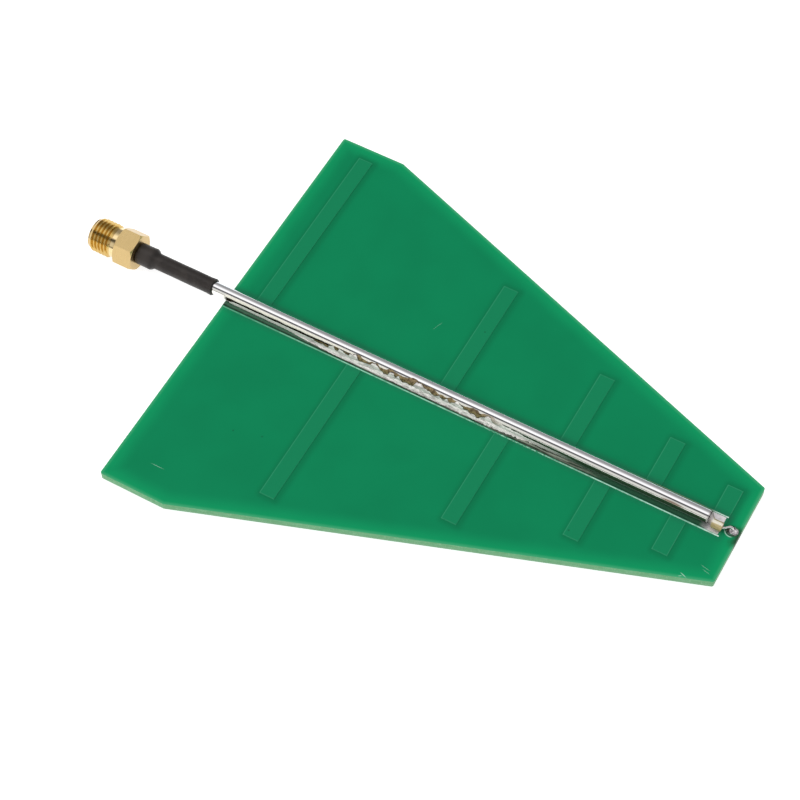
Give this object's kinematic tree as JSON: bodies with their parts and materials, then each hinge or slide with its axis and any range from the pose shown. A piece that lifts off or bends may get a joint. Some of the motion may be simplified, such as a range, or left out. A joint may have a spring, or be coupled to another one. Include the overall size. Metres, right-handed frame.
{
  "type": "log-periodic antenna",
  "caption": "Tapered green circuit-board log-periodic antenna with alternating arms, a semi-rigid coaxial feed soldered along its boom and a gold threaded coaxial jack.",
  "frame": {"origin": "centre of the jack's reference plane, on the axis of the jack and the cable", "axes": "+X along the boom from the jack to the feed tip, +Z out of the board's cable side"},
  "size_m": [0.1254, 0.0814, 0.0068],
  "materials": {
    "laminate": "sawn glass-epoxy edge",
    "copper": "etched copper under the mask",
    "solder_mask": "semi-gloss green coating",
    "tin": "bright tin finish",
    "solder": "hand-laid solder with flux residue",
    "tinned_tube": "bright drawn tin",
    "dielectric": "heat-tanned fluoropolymer",
    "silvered_wire": "bright wire",
    "shrink_sleeve": "satin black shrink tube",
    "gold_plate": "gold plate, satin on the flats",
    "insulator": "white fluoropolymer"
  },
  "bodies": {
    "root": {"board_core": "laminate", "top_copper": "copper", "bottom_copper": "copper", "top_mask": "solder_mask", "bottom_mask": "solder_mask", "boom_tin": "tin", "feed_via": "tin", "feed_solder": "solder", "seam_solder": "solder", "coax_tube": "tinned_tube", "coax_dielectric": "dielectric", "coax_wire": "silvered_wire", "shrink_sleeve": "shrink_sleeve", "jack_body": "gold_plate", "jack_insulator": "insulator", "jack_contact": "gold_plate", "jack_solder": "solder"}
  },
  "joints": []
}
